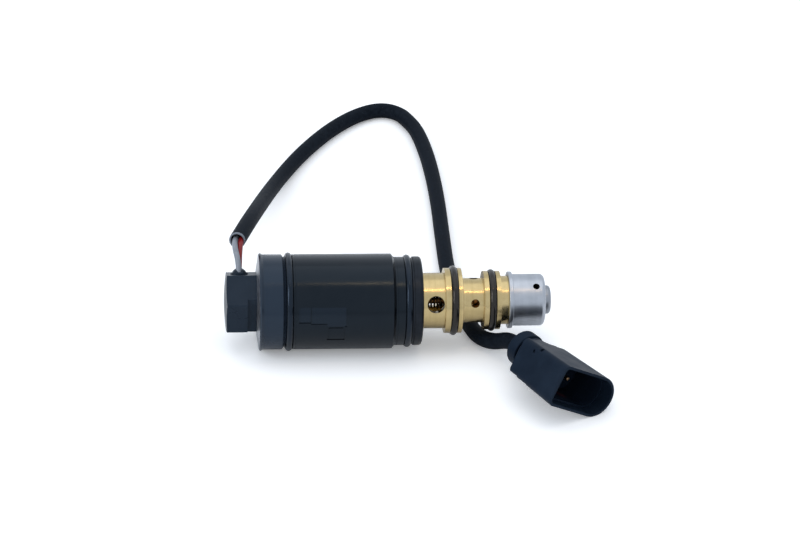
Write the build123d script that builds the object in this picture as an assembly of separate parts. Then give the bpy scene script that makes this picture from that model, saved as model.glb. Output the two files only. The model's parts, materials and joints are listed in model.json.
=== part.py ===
"""Compressor control valve with its wire pigtail: solenoid, brass body, pressure capsule and two-pin plug.

Millimetres. +X runs along the valve's axis towards the nose, +Y to the back and +Z up. The origin is on the
surface that the valve lies on, below the middle of the valve's length.
"""

import os
from math import atan, cos, degrees, radians, sin, sqrt, tan

from build123d import *

# Radial and axial gaps between parts that are assembled and stay put
fit_gap = 0.05
# Radial gap round parts that slide
running_gap = 0.06
# Gap between a seal and the walls of its groove
seal_gap = 0.1
# Gap round a wire in the piece that grips it
grip_gap = 0.02

# Terminal head: a moulded hexagon with a domed end, on a round spigot
head_across_flats = 19.4
head_length = 10.95
head_dome_rise = 0.85
head_edge_round = 0.5
head_roll = 24.0
head_spigot_r = 7.5
head_spigot_length = 4.0
head_chamber_r = 6.9
head_chamber_depth = 11.4
clip_slot_width = 3.2
clip_slot_depth = 2.0

# Wire outlet on the head's top flat
outlet_from_end = 5.2
outlet_collar_r = 2.95
outlet_collar_height = 0.45
seal_plug_r = 2.3
seal_plug_depth = 1.3
seal_dome_r = 2.5
seal_dome_height = 1.6

# Wires in the outlet: half their spacing, and the terminals crimped on them inside the head
wire_spread = 1.35
crimp_r = 1.28
crimp_low = 3.9
crimp_high = 6.3
strip_width = 1.6
strip_thickness = 0.5
strip_end_gap = 0.5

# Coil housing: the body's radius, and how far the flange, lip, notch and shoulder stand out or in
body_r = 16.2
flange_inset = 0.02
flange_r = body_r - flange_inset
flange_lip_proud = 0.55
flange_lip_r = flange_r + flange_lip_proud
notch_depth = 0.98
notch_r = flange_r - notch_depth
shoulder_drop = 1.12
shoulder_r = body_r - shoulder_drop

# Domed steel end plate, set into the flange
plate_inset = 0.18
plate_r = flange_r - plate_inset
plate_cone = 4.4
plate_flat_r = plate_r - plate_cone
plate_rise = 0.75
plate_rim = 0.6

# Coil housing, moulded round the coil: lengths along the axis
flange_lip_width = 1.3
flange_lip_bevel = 0.5
flange_length = 7.8
notch_width = 1.0
notch_slope = 0.6
notch_foot = 0.4
seal_wall = 1.15
parting_groove = 0.3
body_length = 32.55
body_chamfer_length = 0.9
shoulder_length = 3.15
rear_wall = 12.5
score_from_chamfer = 0.45
score_width = 0.25

# Blank fields on the housing's front, as stations along X and angles up from the front
field_1_start = -30.95
field_1_depth = 0.35
field_1_low = 3.7
field_1_high = 23.7
field_2_start = -26.85
field_2_step = -21.45
field_2_end = -14.75
field_2_depth = 0.25
field_2_low = 2.0
field_3_start = -21.35
field_3_end = -15.45
field_3_low = -22.8
field_3_high = -1.7
field_line = 0.5

# Seals: how far each stands out of the housing, and its section radius
flange_seal_proud = 0.59
flange_seal_r = flange_r + flange_seal_proud
flange_seal_section_r = 1.2
front_seal_proud = 0.72
front_seal_r = shoulder_r + front_seal_proud
front_seal_section_r = 1.2

# Magnetic circuit
housing_wall = 1.58
case_r = shoulder_r - housing_wall
case_wall = 1.2
rear_yoke_thickness = 1.5
yoke_wall = 0.65
collar_proud = 0.07
collar_r = shoulder_r + collar_proud
yoke_wall_inset = 0.45
yoke_wall_r = collar_r - yoke_wall_inset
collar_length = 2.9
collar_round = 1.0
yoke_boss_length = 1.2

# Bobbin, winding and leads
bobbin_flange = 1.3
bobbin_hub_wall = 0.9
winding_gap = 0.95
lead_r = 0.4
lead_height = 6.05
lead_hole_r = 0.5

# Guide tube, plunger, fixed core and their spring
tube_r = 5.0
tube_wall = 0.4
tube_into_wall = 1.2
plunger_length = 17.0
plunger_end_gap = 0.9
stroke = 0.7
shim_gap = 0.1
core_into_yoke = 2.4
spring_pocket_r = 2.6
spring_pocket_depth = 2.4
return_wire_r = 0.25
return_spring_r = 1.9
return_spring_turns = 5

# Valve rod with its spring collar and poppet
rod_r = 1.05
rod_into_plunger = 10.0
rod_collar_r = 2.9
rod_collar_length = 0.8
poppet_r = 2.4
poppet_length = 2.2

# Brass valve body, from the yoke to the cap
spigot_r = 8.0
spigot_length = 3.2
barrel_r = 9.5
barrel_length = 7.9
land_1_proud = 1.62
land_1_r = barrel_r + land_1_proud
land_1_rear = 1.85
land_1_front = 1.35
land_1_taper = 0.3
waist_r = 7.62
waist_length = 7.2
land_2_proud = 2.41
land_2_r = waist_r + land_2_proud
land_2_rear = 1.6
land_2_front = 1.5
neck_length = 2.8
neck_in_cap = 2.0
port_chamber_r = 5.6
port_chamber_wall = 0.9
poppet_chamber_r = 3.3
poppet_chamber_length = 7.2
seat_r = 1.7
seat_length = 2.6
capsule_bore_r = 6.1
large_port_r = 2.95
large_port_from_yoke = 4.58
small_port_r = 1.47
small_port_from_land = 4.1
port_roll = 21.5
body_seal_section_r = 1.2
body_seal_1_proud = 0.81
body_seal_1_r = land_1_r + body_seal_1_proud
body_seal_2_proud = 0.57
body_seal_2_r = land_2_r + body_seal_2_proud

# Port spring, seen through the large port
port_wire_r = 0.32
port_spring_r = 2.25
port_spring_turns = 5

# Drawn cap with its turned rim
cap_r = 8.87
cap_wall = 0.48
cap_length = 12.5
cap_rim_proud = 0.85
cap_rim_r = cap_r + cap_rim_proud
cap_rim_width = 1.4
cap_corner = 1.5
cap_rim_round = 0.25
cap_hole_r = 1.15
cap_hole_from_end = 3.25
cap_hole_roll = 61.0
neck_gap = 0.07
neck_r = cap_r - cap_wall - neck_gap

# Adjusting plug, whose end is the nose
nose_r = 4.9
nose_length = 2.2
nose_round = 1.2
adjuster_flange_r = 5.6
adjuster_flange_width = 0.9
adjuster_stem_r = 2.0
adjuster_stem_length = 3.0

# Pressure capsule: a bellows with its tip
bellows_r = 5.3
bellows_root_r = 3.9
bellows_wall = 0.3
bellows_folds = 5
bellows_crest = 1.5
bellows_tip_r = 4.1
bellows_tip_length = 1.2
bellows_tip_gap = 0.1

# Wires and sleeve
wire_r = 0.95
sleeve_r = 2.85
sleeve_wall = 0.5

# Two-pin plug on the sleeve's far end
mouth_x = 61.95
mouth_y = -50.06
plug_heading = 60.8
plug_roll = 30.55
plug_width = 26.3
plug_height = 14.6
plug_corner = 2.0
plug_taper = 1.4
shroud_length = 24.0
shoulder_run = 7.0
plug_neck_r = 5.7
shoulder_step = 0.5
shoulder_bend = 4.0
shoulder_flat_inset = 4.6
shoulder_inset = 1.5
shoulder_corner = 4.6
foot_step_1 = 14.5
foot_drop_1 = 0.85
foot_step_2 = 20.0
foot_drop_2 = 1.3
shroud_wall = 1.4
mouth_step = 0.5
mouth_step_depth = 5.5
mouth_corner = 1.4
cavity_depth = 19.0
mark_r = 0.6
mark_1_up = 4.5
mark_1_from_mouth = 17.2
mark_1_depth = 0.35
mark_2_up = 6.2
mark_2_from_mouth = 14.6
mark_2_depth = 1.2
rear_spigot_r = 5.0
rear_spigot_length = 2.4
rear_cap_r = 6.3
rear_cap_length = 4.3
rear_cap_wall = 1.2
rear_cap_gap = 0.5
rear_cap_round = 0.4
pin_r = 0.75
pin_spacing = 5.0
pin_proud = 7.0
pin_tail = 7.0
pin_round = 0.4
pin_cavity_r = 1.5
wire_seal_r = 1.9
wire_seal_length = 4.5

# Stations along X, each from the one before
flange_groove = 2 * (flange_seal_section_r + seal_gap)
front_groove = 2 * (front_seal_section_r + seal_gap)
body_groove = 2 * (body_seal_section_r + seal_gap)
x_head = -55.7
x_plate = x_head + head_length
x_flange = x_plate + plate_rise
x_notch = x_flange + flange_length
x_flange_seal = x_notch + notch_width
x_seal_wall = x_flange_seal + flange_groove
x_body = x_seal_wall + seal_wall
x_chamfer = x_body + body_length
x_shoulder = x_chamfer + body_chamfer_length
x_front_seal = x_shoulder + shoulder_length
x_yoke_wall = x_front_seal + front_groove
x_collar = x_yoke_wall + yoke_wall
x_barrel = x_collar + collar_length
x_land_1 = x_barrel + barrel_length
x_seal_1 = x_land_1 + land_1_rear
x_land_1_front = x_seal_1 + body_groove
x_taper = x_land_1_front + land_1_front
x_waist = x_taper + land_1_taper
x_land_2 = x_waist + waist_length
x_seal_2 = x_land_2 + land_2_rear
x_land_2_front = x_seal_2 + body_groove
x_neck = x_land_2_front + land_2_front
x_cap = x_neck + neck_length
x_cap_end = x_cap + cap_length
x_nose = x_cap_end + nose_length

# Stations inside the solenoid
x_plate_seat = x_flange + plate_rim
x_case = x_plate_seat + rear_wall
x_bobbin = x_case + rear_yoke_thickness + fit_gap
x_yoke_boss = x_front_seal - yoke_boss_length
x_bobbin_end = x_yoke_boss - fit_gap
x_tube = x_case - tube_into_wall
x_plunger = x_tube + tube_wall + plunger_end_gap
x_plunger_end = x_plunger + plunger_length
x_core = x_plunger_end + stroke + shim_gap
x_core_end = x_front_seal + core_into_yoke
x_rod = x_plunger_end - rod_into_plunger
x_return_spring = x_plunger_end - spring_pocket_depth
x_return_spring_end = x_core + spring_pocket_depth

# Stations inside the valve body
x_port_chamber = x_barrel + port_chamber_wall
x_port_chamber_end = x_land_1 - fit_gap
x_poppet_chamber = x_land_2 - poppet_chamber_length
x_seat = x_land_2
x_capsule_bore = x_seat + seat_length
x_body_end = x_cap + neck_in_cap
x_rod_collar = x_port_chamber + shim_gap
x_port_spring = x_rod_collar + rod_collar_length
x_poppet = x_seat - stroke - shim_gap - poppet_length
x_adjuster = x_cap_end - cap_wall - adjuster_flange_width
x_bellows_tip = x_capsule_bore + stroke + 2 * shim_gap
x_bellows = x_bellows_tip + bellows_tip_length
x_rod_end = x_bellows_tip - bellows_tip_gap

# The valve lies on its flange seal, whose radius is the axis's height
axis_height = flange_seal_r
to_axis = Pos(0, 0, axis_height)
bobbin_hub_r = tube_r + fit_gap
winding_bore_r = bobbin_hub_r + bobbin_hub_wall
winding_r = case_r - case_wall - winding_gap
bobbin_r = case_r - case_wall - 2 * fit_gap
plunger_r = tube_r - tube_wall - running_gap
flange_groove_r = flange_seal_r - flange_groove
front_groove_r = front_seal_r - front_groove


def turned(*outline):
    """A solid of revolution on the valve's axis, from (x, r) corners."""
    return to_axis * revolve(make_face(Polyline(*outline, close=True)), Axis.X)


def rod(x_start, x_end, r):
    """A plain cylinder on the valve's axis."""
    return turned((x_start, 0), (x_end, 0), (x_end, r), (x_start, r))


def ring(x_start, x_end, r_in, r_out):
    """A plain tube on the valve's axis."""
    return turned((x_start, r_in), (x_end, r_in), (x_end, r_out), (x_start, r_out))


def seal_ring(x_groove, groove, r_out, section_r):
    """A round-section sealing ring in the middle of its groove."""
    centre = Location((x_groove + groove / 2, r_out - section_r, 0))
    return to_axis * revolve(centre * Circle(section_r), Axis.X)


def facing(elevation):
    """Unit vector from the axis, at an angle up from the front."""
    return Vector(0, -cos(radians(elevation)), sin(radians(elevation)))


def radial_hole(x, r, elevation, r_start, r_end):
    """A drill through one wall, from r_start to r_end off the axis."""
    out = facing(elevation)
    start = Vector(x, 0, axis_height) + out * r_start
    return Plane(origin=start, z_dir=out) * extrude(Circle(r), r_end - r_start)


def sector(x_start, x_end, r_in, r_out, low, high):
    """A piece of a tube on the axis, between two angles up from the front."""
    corners = (x_start, r_in), (x_end, r_in), (x_end, r_out), (x_start, r_out)
    section = make_face(Polyline(*corners, close=True))
    return to_axis * Rot(180 - high, 0, 0) * revolve(section, Axis.X, high - low)


def spring(x_start, x_end, mean_r, section_r, turns):
    """A coil of round wire on the axis that fills the room between its two seats."""
    height = x_end - x_start - 2 * section_r - 2 * fit_gap
    centre = (x_start + section_r + fit_gap, 0, 0)
    path = Helix(height / turns, height, mean_r, center=centre, direction=(1, 0, 0))
    section = Plane(path @ 0, z_dir=path % 0) * Circle(section_r)
    return to_axis * sweep(section, path, is_frenet=True)


def rounded(solid, x, r, size):
    """The solid with its circular edge at (x, r) rounded."""
    circles = solid.edges().filter_by(GeomType.CIRCLE)
    picked = [e for e in circles if abs(e.radius - r) < 0.001 and abs(e.arc_center.X - x) < 0.001]
    return fillet(picked, size)


# Directions of the wire outlet: out of the top flat, and across it towards the back
outlet_out = Vector(0, sin(radians(head_roll)), cos(radians(head_roll)))
outlet_back = Vector(0, cos(radians(head_roll)), -sin(radians(head_roll)))
outlet_axis = Vector(x_head + outlet_from_end, 0, axis_height)
flat_distance = head_across_flats / 2
outlet = Plane(outlet_axis + outlet_out * flat_distance, x_dir=(1, 0, 0), z_dir=outlet_out)
seal_floor = outlet_collar_height - seal_plug_depth
x_spigot_end = x_plate + head_spigot_length
x_strip_end = x_spigot_end - strip_end_gap


def lead_line(side, r, x_start, x_end):
    """A cylinder along one of the coil's two leads, on the side of the front or the back wire."""
    start = Vector(x_start, 0, axis_height) + outlet_out * lead_height
    start += outlet_back * (side * wire_spread)
    return Plane(origin=start, z_dir=(1, 0, 0)) * extrude(Circle(r), x_end - x_start)


def terminal_head():
    """Hexagonal moulding: dome, edges, spigot, chamber, outlet and clip slot."""
    corner_r = flat_distance / cos(radians(30))
    hexagon_plane = Plane((x_head, 0, axis_height), x_dir=outlet_back, z_dir=(1, 0, 0))
    block = extrude(hexagon_plane * RegularPolygon(corner_r, 6), head_length)
    block = fillet(block.edges().filter_by(Axis.X), head_edge_round)
    dome_r = (corner_r**2 + head_dome_rise**2) / (2 * head_dome_rise)
    block &= Pos(x_head + dome_r, 0, axis_height) * Sphere(dome_r)
    block += rod(x_plate - 1, x_spigot_end, head_spigot_r)
    block += outlet * extrude(Circle(outlet_collar_r), outlet_collar_height)
    block -= rod(x_spigot_end - head_chamber_depth, x_spigot_end, head_chamber_r)
    block -= outlet * Pos(0, 0, seal_floor) * extrude(Circle(seal_plug_r + fit_gap), head_length)
    for side in (-1, 1):
        hole = outlet * Pos(0, side * wire_spread, seal_floor - head_length / 2)
        block -= hole * extrude(Circle(wire_r + grip_gap), head_length)
    slot_out = facing(head_roll - 30)
    slot_floor = Vector(x_plate - clip_slot_width / 2, 0, axis_height)
    slot_floor += slot_out * (flat_distance - clip_slot_depth)
    slot = Plane(slot_floor, x_dir=(1, 0, 0), z_dir=slot_out)
    block -= slot * extrude(Rectangle(clip_slot_width, head_across_flats), head_across_flats)
    return block


def wire_seal():
    """Rubber plug with a domed top that the two wires come out of."""
    body = extrude(Circle(seal_plug_r), seal_plug_depth)
    dome_r = (seal_dome_r**2 + seal_dome_height**2) / (2 * seal_dome_height)
    dome = Pos(0, 0, seal_plug_depth + seal_dome_height - dome_r) * Sphere(dome_r)
    dome &= Pos(0, 0, seal_plug_depth) * extrude(Circle(seal_dome_r), seal_dome_height)
    body += dome
    for side in (-1, 1):
        body -= Pos(0, side * wire_spread, 0) * extrude(Circle(wire_r + grip_gap), 4, both=True)
    return outlet * Pos(0, 0, seal_floor) * body


def terminal(side):
    """Barrel crimped on one wire, with a strip that runs back to the coil's lead."""
    at = Plane(outlet_axis + outlet_back * (side * wire_spread), x_dir=(1, 0, 0), z_dir=outlet_out)
    barrel = Circle(crimp_r) - Circle(wire_r + grip_gap)
    body = at * Pos(0, 0, crimp_low) * extrude(barrel, crimp_high - crimp_low)
    start = sqrt(crimp_r**2 - (strip_width / 2) ** 2)
    length = x_strip_end - outlet_axis.X - start
    strip = Box(length, strip_width, strip_thickness)
    return body + at * Pos(start + length / 2, 0, lead_height) * strip


def end_plate():
    """Steel plate with a coned face, clamped between the head and the coil housing."""
    bore = head_spigot_r + fit_gap
    return turned(
        (x_plate, bore),
        (x_plate, plate_flat_r),
        (x_flange, plate_r),
        (x_plate_seat, plate_r),
        (x_plate_seat, bore),
    )


def coil_housing():
    """Moulding round the coil: lip, notch, seal groove, body and shoulder, with its bores."""
    x_parting = (x_seal_wall + x_body - parting_groove) / 2
    x_score = x_shoulder + score_from_chamfer
    body = turned(
        (x_flange, 0),
        (x_flange, flange_lip_r - flange_lip_bevel),
        (x_flange + flange_lip_bevel, flange_lip_r),
        (x_flange + flange_lip_width, flange_r),
        (x_notch, flange_r),
        (x_notch + notch_slope, notch_r),
        (x_flange_seal, notch_r + notch_foot),
        (x_flange_seal, flange_groove_r),
        (x_seal_wall, flange_groove_r),
        (x_seal_wall, flange_r),
        (x_parting, flange_r),
        (x_parting, flange_r - parting_groove),
        (x_parting + parting_groove, flange_r - parting_groove),
        (x_parting + parting_groove, flange_r),
        (x_body, body_r),
        (x_chamfer, body_r),
        (x_shoulder, shoulder_r),
        (x_score, shoulder_r),
        (x_score, shoulder_r - score_width),
        (x_score + score_width, shoulder_r - score_width),
        (x_score + score_width, shoulder_r),
        (x_front_seal, shoulder_r),
        (x_front_seal, 0),
    )
    body -= rod(x_flange, x_plate_seat, plate_r + fit_gap)
    body -= rod(x_plate_seat, x_spigot_end + fit_gap, head_spigot_r + fit_gap)
    body -= rod(x_tube - fit_gap, x_case, tube_r + fit_gap)
    body -= rod(x_case, x_front_seal, case_r + fit_gap)
    for side in (-1, 1):
        body -= lead_line(side, lead_r + fit_gap, x_spigot_end, x_case)
    return body - bare_recesses()


def bare_recesses():
    """Shallow blank fields on the housing's front: two sunk ones and one outlined rectangle."""
    first = body_r - field_1_depth
    second = body_r - field_2_depth
    high = body_r + 1
    cut = sector(field_1_start, field_2_start, first, high, field_1_low, field_1_high)
    cut += sector(field_2_start, field_2_step, second, high, field_2_low, field_1_high)
    cut += sector(field_2_step, field_2_end, second, high, field_3_high, field_1_high)
    line = degrees(field_line / body_r)
    frame = sector(field_3_start, field_3_end, second, high, field_3_low, field_3_high)
    frame -= sector(
        field_3_start + field_line,
        field_3_end - field_line,
        second - 1,
        high + 1,
        field_3_low + line,
        field_3_high - line,
    )
    return cut + frame


def flange_seal():
    """Larger sealing ring, in the housing's rear groove."""
    return seal_ring(x_flange_seal, flange_groove, flange_seal_r, flange_seal_section_r)


def front_seal():
    """Sealing ring between the housing's shoulder and the yoke's collar."""
    return seal_ring(x_front_seal, front_groove, front_seal_r, front_seal_section_r)


def front_yoke():
    """Steel yoke: pilot inside the case, seal floor, round-edged collar, bores for core and brass."""
    pilot_r = case_r - case_wall - fit_gap
    x_pocket = x_barrel - spigot_length - fit_gap
    body = turned(
        (x_yoke_boss, tube_r + fit_gap),
        (x_yoke_boss, pilot_r),
        (x_front_seal, pilot_r),
        (x_front_seal, front_groove_r),
        (x_yoke_wall, front_groove_r),
        (x_yoke_wall, yoke_wall_r),
        (x_collar, yoke_wall_r),
        (x_collar, collar_r),
        (x_barrel, collar_r),
        (x_barrel, spigot_r + fit_gap),
        (x_pocket, spigot_r + fit_gap),
        (x_pocket, tube_r + fit_gap),
    )
    return rounded(body, x_barrel, collar_r, collar_round)


def coil_case():
    """Steel tube round the winding."""
    return ring(x_case, x_front_seal, case_r - case_wall, case_r)


def rear_yoke():
    """Steel disc inside the case's rear end, with two holes for the leads."""
    r = case_r - case_wall - fit_gap
    disc = ring(x_case, x_case + rear_yoke_thickness, tube_r + fit_gap, r)
    for side in (-1, 1):
        disc -= lead_line(side, lead_hole_r, x_case - 1, x_case + rear_yoke_thickness + 1)
    return disc


def bobbin():
    """Plastic spool with two flanges, the rear one with two holes for the leads."""
    x_rear, x_front = x_bobbin + bobbin_flange, x_bobbin_end - bobbin_flange
    spool = turned(
        (x_bobbin, bobbin_hub_r),
        (x_bobbin, bobbin_r),
        (x_rear, bobbin_r),
        (x_rear, winding_bore_r),
        (x_front, winding_bore_r),
        (x_front, bobbin_r),
        (x_bobbin_end, bobbin_r),
        (x_bobbin_end, bobbin_hub_r),
    )
    for side in (-1, 1):
        spool -= lead_line(side, lead_hole_r, x_bobbin - 1, x_rear)
    return spool


def winding():
    """Copper winding that fills the spool."""
    return ring(x_bobbin + bobbin_flange, x_bobbin_end - bobbin_flange, winding_bore_r, winding_r)


def lead(side):
    """Straight wire from a terminal's strip to the winding."""
    return lead_line(side, lead_r, x_strip_end, x_bobbin + bobbin_flange)


def guide_tube():
    """Thin tube, closed at the rear, that the plunger slides in."""
    inner = tube_r - tube_wall
    return turned(
        (x_tube, 0),
        (x_tube, tube_r),
        (x_core_end, tube_r),
        (x_core_end, inner),
        (x_tube + tube_wall, inner),
        (x_tube + tube_wall, 0),
    )


def plunger():
    """Iron plunger with the rod's bore and a spring pocket in its front face."""
    body = rod(x_plunger, x_plunger_end, plunger_r)
    body -= rod(x_rod, x_plunger_end, rod_r + fit_gap)
    body -= rod(x_return_spring, x_plunger_end, spring_pocket_r)
    return body


def fixed_core():
    """Iron core, bored for the rod, with a spring pocket in its rear face."""
    body = ring(x_core, x_core_end, rod_r + running_gap, tube_r - tube_wall - fit_gap)
    return body - rod(x_core, x_return_spring_end, spring_pocket_r)


def valve_rod():
    """Rod with the spring's collar and the poppet turned on it."""
    poppet_land = poppet_length / 2
    return turned(
        (x_rod, 0),
        (x_rod, rod_r),
        (x_rod_collar, rod_r),
        (x_rod_collar, rod_collar_r),
        (x_port_spring, rod_collar_r),
        (x_port_spring, rod_r),
        (x_poppet, rod_r),
        (x_poppet, poppet_r),
        (x_poppet + poppet_land, poppet_r),
        (x_poppet + poppet_length, seat_r),
        (x_poppet + poppet_length, rod_r),
        (x_rod_end, rod_r),
        (x_rod_end, 0),
    )


def valve_body():
    """Turned brass body with lands, seal grooves, chambers, seat and ports."""
    groove_1_r = body_seal_1_r - body_groove
    groove_2_r = body_seal_2_r - body_groove
    x_spigot = x_barrel - spigot_length
    body = turned(
        (x_spigot, 0),
        (x_spigot, spigot_r),
        (x_barrel, spigot_r),
        (x_barrel, barrel_r),
        (x_land_1, barrel_r),
        (x_land_1, land_1_r),
        (x_seal_1, land_1_r),
        (x_seal_1, groove_1_r),
        (x_land_1_front, groove_1_r),
        (x_land_1_front, land_1_r),
        (x_taper, land_1_r),
        (x_waist, barrel_r),
        (x_waist, waist_r),
        (x_land_2, waist_r),
        (x_land_2, land_2_r),
        (x_seal_2, land_2_r),
        (x_seal_2, groove_2_r),
        (x_land_2_front, groove_2_r),
        (x_land_2_front, land_2_r),
        (x_neck, land_2_r),
        (x_neck, neck_r),
        (x_body_end, neck_r),
        (x_body_end, 0),
    )
    body -= rod(x_spigot, x_poppet_chamber, rod_r + running_gap)
    body -= rod(x_port_chamber, x_port_chamber_end, port_chamber_r)
    body -= rod(x_poppet_chamber, x_seat, poppet_chamber_r)
    body -= rod(x_seat, x_capsule_bore, seat_r)
    body -= rod(x_capsule_bore, x_body_end, capsule_bore_r)
    x_large = x_barrel + large_port_from_yoke
    x_small = x_waist + small_port_from_land
    for turn in (0, 180):
        body -= radial_hole(x_large, large_port_r, port_roll + turn, rod_collar_r, land_1_r)
    for turn in (0, 90, 180, 270):
        body -= radial_hole(x_small, small_port_r, port_roll + turn, rod_collar_r, land_1_r)
    return body


def port_spring():
    """Spring between the rod's collar and the end of the port chamber."""
    return spring(x_port_spring, x_port_chamber_end, port_spring_r, port_wire_r, port_spring_turns)


def return_spring():
    """Spring between the plunger and the fixed core."""
    turns = return_spring_turns
    return spring(x_return_spring, x_return_spring_end, return_spring_r, return_wire_r, turns)


def bellows_tip():
    """Disc that closes the bellows towards the rod."""
    return rod(x_bellows_tip, x_bellows, bellows_tip_r)


def bellows():
    """Thin metal bellows with square folds, between its tip and the adjusting plug."""
    bore = bellows_root_r - bellows_wall
    pitch = (x_adjuster - x_bellows) / bellows_folds
    body = ring(x_bellows, x_adjuster, bore, bellows_root_r)
    hollow = rod(x_bellows, x_adjuster, bore)
    for fold in range(bellows_folds):
        start = x_bellows + (fold + 0.5) * pitch - bellows_crest / 2
        end = start + bellows_crest
        body += ring(start, end, bore, bellows_r)
        hollow += rod(start + bellows_wall, end - bellows_wall, bellows_r - bellows_wall)
    return body - hollow


def adjusting_plug():
    """Plug in the cap's end wall: stem inside the bellows, flange, and the nose outside."""
    body = turned(
        (x_adjuster - adjuster_stem_length, 0),
        (x_adjuster - adjuster_stem_length, adjuster_stem_r),
        (x_adjuster, adjuster_stem_r),
        (x_adjuster, adjuster_flange_r),
        (x_cap_end - cap_wall, adjuster_flange_r),
        (x_cap_end - cap_wall, nose_r),
        (x_nose, nose_r),
        (x_nose, 0),
    )
    return rounded(body, x_nose, nose_r, nose_round)


def cap():
    """Drawn cup over the bellows, with a rim, a rounded end and two opposite holes."""
    inner = cap_r - cap_wall
    body = turned(
        (x_cap, inner),
        (x_cap, cap_rim_r),
        (x_cap + cap_rim_width, cap_rim_r),
        (x_cap + cap_rim_width, cap_r),
        (x_cap_end, cap_r),
        (x_cap_end, nose_r + fit_gap),
        (x_cap_end - cap_wall, nose_r + fit_gap),
        (x_cap_end - cap_wall, inner),
    )
    body = rounded(body, x_cap_end, cap_r, cap_corner)
    body = rounded(body, x_cap_end - cap_wall, inner, cap_corner - cap_wall)
    body = rounded(body, x_cap, cap_rim_r, cap_rim_round)
    body = rounded(body, x_cap + cap_rim_width, cap_rim_r, cap_rim_round)
    x_hole = x_cap_end - cap_hole_from_end
    for turn in (0, 180):
        body -= radial_hole(x_hole, cap_hole_r, cap_hole_roll + turn, bellows_r, cap_rim_r)
    return body


# The plug's own axes: it lies on its tapered side, so that its mouth points up a little
heading, roll = radians(plug_heading), radians(plug_roll)
pitch = atan(plug_taper / 2 / shroud_length)
plug_out = Vector(cos(heading) * cos(pitch), -sin(heading) * cos(pitch), sin(pitch))
plug_side = Vector(sin(heading), cos(heading), 0)
plug_across = plug_side * cos(roll) - plug_out.cross(plug_side) * sin(roll)
round_centre = (plug_width - plug_height) / 2
mouth_height = (round_centre * sin(roll) + plug_height / 2) * cos(pitch)
mouth = Plane((mouth_x, mouth_y, mouth_height), x_dir=plug_across, z_dir=plug_out)

# Depths behind the plug's mouth
shoulder_depth = shroud_length + shoulder_run
rear_cap_start = shoulder_depth + rear_cap_gap
rear_cap_end = rear_cap_start + rear_cap_length
rear_spigot_end = rear_cap_start + rear_spigot_length
pin_end = cavity_depth + pin_tail
seal_end = rear_spigot_end - wire_seal_length


def plug_section(depth, flat_inset, inset, corner):
    """The plug's outline at a depth: a flat end and a round end, moved in by two insets."""
    flat, top = flat_inset - plug_width / 2, plug_height / 2 - inset
    cut = corner * (1 - sqrt(0.5))
    outline = [
        Line((flat + corner, -top), (round_centre, -top)),
        ThreePointArc((round_centre, -top), (round_centre + top, 0), (round_centre, top)),
        Line((round_centre, top), (flat + corner, top)),
        ThreePointArc((flat + corner, top), (flat + cut, top - cut), (flat, top - corner)),
        Line((flat, top - corner), (flat, corner - top)),
        ThreePointArc((flat, corner - top), (flat + cut, cut - top), (flat + corner, -top)),
    ]
    return mouth * Pos(0, 0, -depth) * make_face(outline)


def plug_hollow(end, wall):
    """The inside of the plug's mouth down to a depth."""
    return loft([plug_section(d, wall, wall, mouth_corner) for d in (0, end)])


def plug_bore(across, r, start, end):
    """A cylinder along the plug's axis between two depths."""
    return mouth * Pos(across, 0, -end) * extrude(Circle(r), end - start)


def plug_mark(up, from_mouth, depth):
    """A small round recess in the plug's flat end."""
    floor = Pos((plug_taper - plug_width) / 2 + depth, up, -from_mouth)
    return mouth * floor * Rot(0, -90, 0) * extrude(Circle(mark_r), plug_height)


def plug_housing():
    """Plastic plug: tapered shroud, stepped shoulder, spigot, marks, mouth and pin bores."""
    taper = plug_taper / 2
    start = taper + shoulder_step
    body = loft([
        plug_section(0, 0, 0, plug_corner),
        plug_section(shroud_length, taper, taper, plug_corner),
    ])
    body += loft([
        plug_section(shroud_length, start, start, plug_corner),
        plug_section(shroud_length + shoulder_bend, shoulder_flat_inset, shoulder_inset, shoulder_corner),
    ])
    body += loft([
        plug_section(shroud_length + shoulder_bend, shoulder_flat_inset, shoulder_inset, shoulder_corner),
        mouth * Pos(0, 0, -shoulder_depth) * Circle(plug_neck_r),
    ])
    body += plug_bore(0, rear_spigot_r, shoulder_depth, rear_spigot_end)
    for depth, drop in ((foot_step_1, foot_drop_1), (foot_step_2, foot_drop_2)):
        across = Box(plug_width, 2 * drop, 2 * (shoulder_depth - depth))
        body -= mouth * Pos(-plug_height, -plug_height / 2, -shoulder_depth) * across
    body -= plug_mark(mark_1_up, mark_1_from_mouth, mark_1_depth)
    body -= plug_mark(mark_2_up, mark_2_from_mouth, mark_2_depth)
    body -= plug_hollow(cavity_depth, shroud_wall)
    body -= plug_hollow(mouth_step_depth, shroud_wall - mouth_step)
    for side in (-1, 1):
        across = side * pin_spacing / 2
        body -= plug_bore(across, pin_r + fit_gap, cavity_depth, pin_end)
        body -= plug_bore(across, pin_cavity_r, pin_end, seal_end)
        body -= plug_bore(across, wire_seal_r + fit_gap, seal_end, rear_spigot_end)
    return body


def plug_rear_cap():
    """Round cap that holds the wire seals, with a hole for the sleeve."""
    body = plug_bore(0, rear_cap_r, rear_cap_start, rear_cap_end)
    body -= plug_bore(0, rear_spigot_r + fit_gap, rear_cap_start, rear_cap_end - rear_cap_wall)
    body -= plug_bore(0, sleeve_r + fit_gap, rear_cap_start, rear_cap_end)
    rim = body.edges().filter_by(GeomType.CIRCLE).filter_by(lambda e: abs(e.radius - rear_cap_r) < 0.001)
    return fillet(rim, rear_cap_round)


def plug_pin(side):
    """Round contact pin."""
    pin = plug_bore(side * pin_spacing / 2, pin_r, cavity_depth - pin_proud, pin_end)
    return fillet(pin.edges().filter_by(GeomType.CIRCLE), pin_round)


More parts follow.
